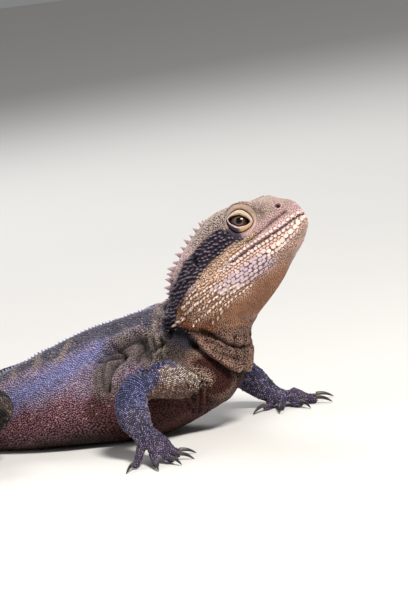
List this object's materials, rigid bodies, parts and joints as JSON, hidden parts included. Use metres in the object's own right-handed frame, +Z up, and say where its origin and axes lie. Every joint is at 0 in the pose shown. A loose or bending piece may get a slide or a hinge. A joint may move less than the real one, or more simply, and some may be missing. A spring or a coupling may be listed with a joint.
{
  "type": "eastern water dragon",
  "caption": "Life-size still model of an eastern water dragon resting on its belly, head raised, with a spiny crest, clawed feet and a long curved tail.",
  "frame": {"origin": "centre of the whole box at the floor that the animal rests on", "axes": "+X the way the animal faces, +Y its left side, +Z up"},
  "size_m": [0.6416, 0.2508, 0.1151],
  "materials": {
    "head_skin": "dry, scaly, pinkish tan with a dark band behind the eye",
    "trunk_skin": "small keeled scales, dark purple-grey back with pale bars, reddish brown below",
    "limb_skin": "small keeled scales, dark blue-grey with pale dots and bars",
    "eye": "wet, clear over a dark brown iris with a thin gold ring",
    "claw": "smooth dark horn, paler along its edge"
  },
  "bodies": {
    "root": {"claw_foot_left_1": "claw", "claw_foot_left_2": "claw", "claw_foot_left_3": "claw", "claw_foot_left_4": "claw", "claw_foot_left_5": "claw", "claw_foot_right_1": "claw", "claw_foot_right_2": "claw", "claw_foot_right_3": "claw", "claw_foot_right_4": "claw", "claw_foot_right_5": "claw", "claw_hand_left_1": "claw", "claw_hand_left_2": "claw", "claw_hand_left_3": "claw", "claw_hand_left_4": "claw", "claw_hand_left_5": "claw", "claw_hand_right_1": "claw", "claw_hand_right_2": "claw", "claw_hand_right_3": "claw", "claw_hand_right_4": "claw", "claw_hand_right_5": "claw", "eye_left": "eye", "eye_right": "eye", "foot_left": "limb_skin", "foot_right": "limb_skin", "forearm_left": "limb_skin", "forearm_right": "limb_skin", "hand_left": "limb_skin", "hand_right": "limb_skin", "head": "head_skin", "neck": "trunk_skin", "shank_left": "limb_skin", "shank_right": "limb_skin", "tail_1": "trunk_skin", "tail_2": "trunk_skin", "tail_3": "trunk_skin", "tail_4": "trunk_skin", "tail_5": "trunk_skin", "thigh_left": "limb_skin", "thigh_right": "limb_skin", "torso": "trunk_skin", "upper_arm_left": "limb_skin", "upper_arm_right": "limb_skin"}
  },
  "joints": []
}
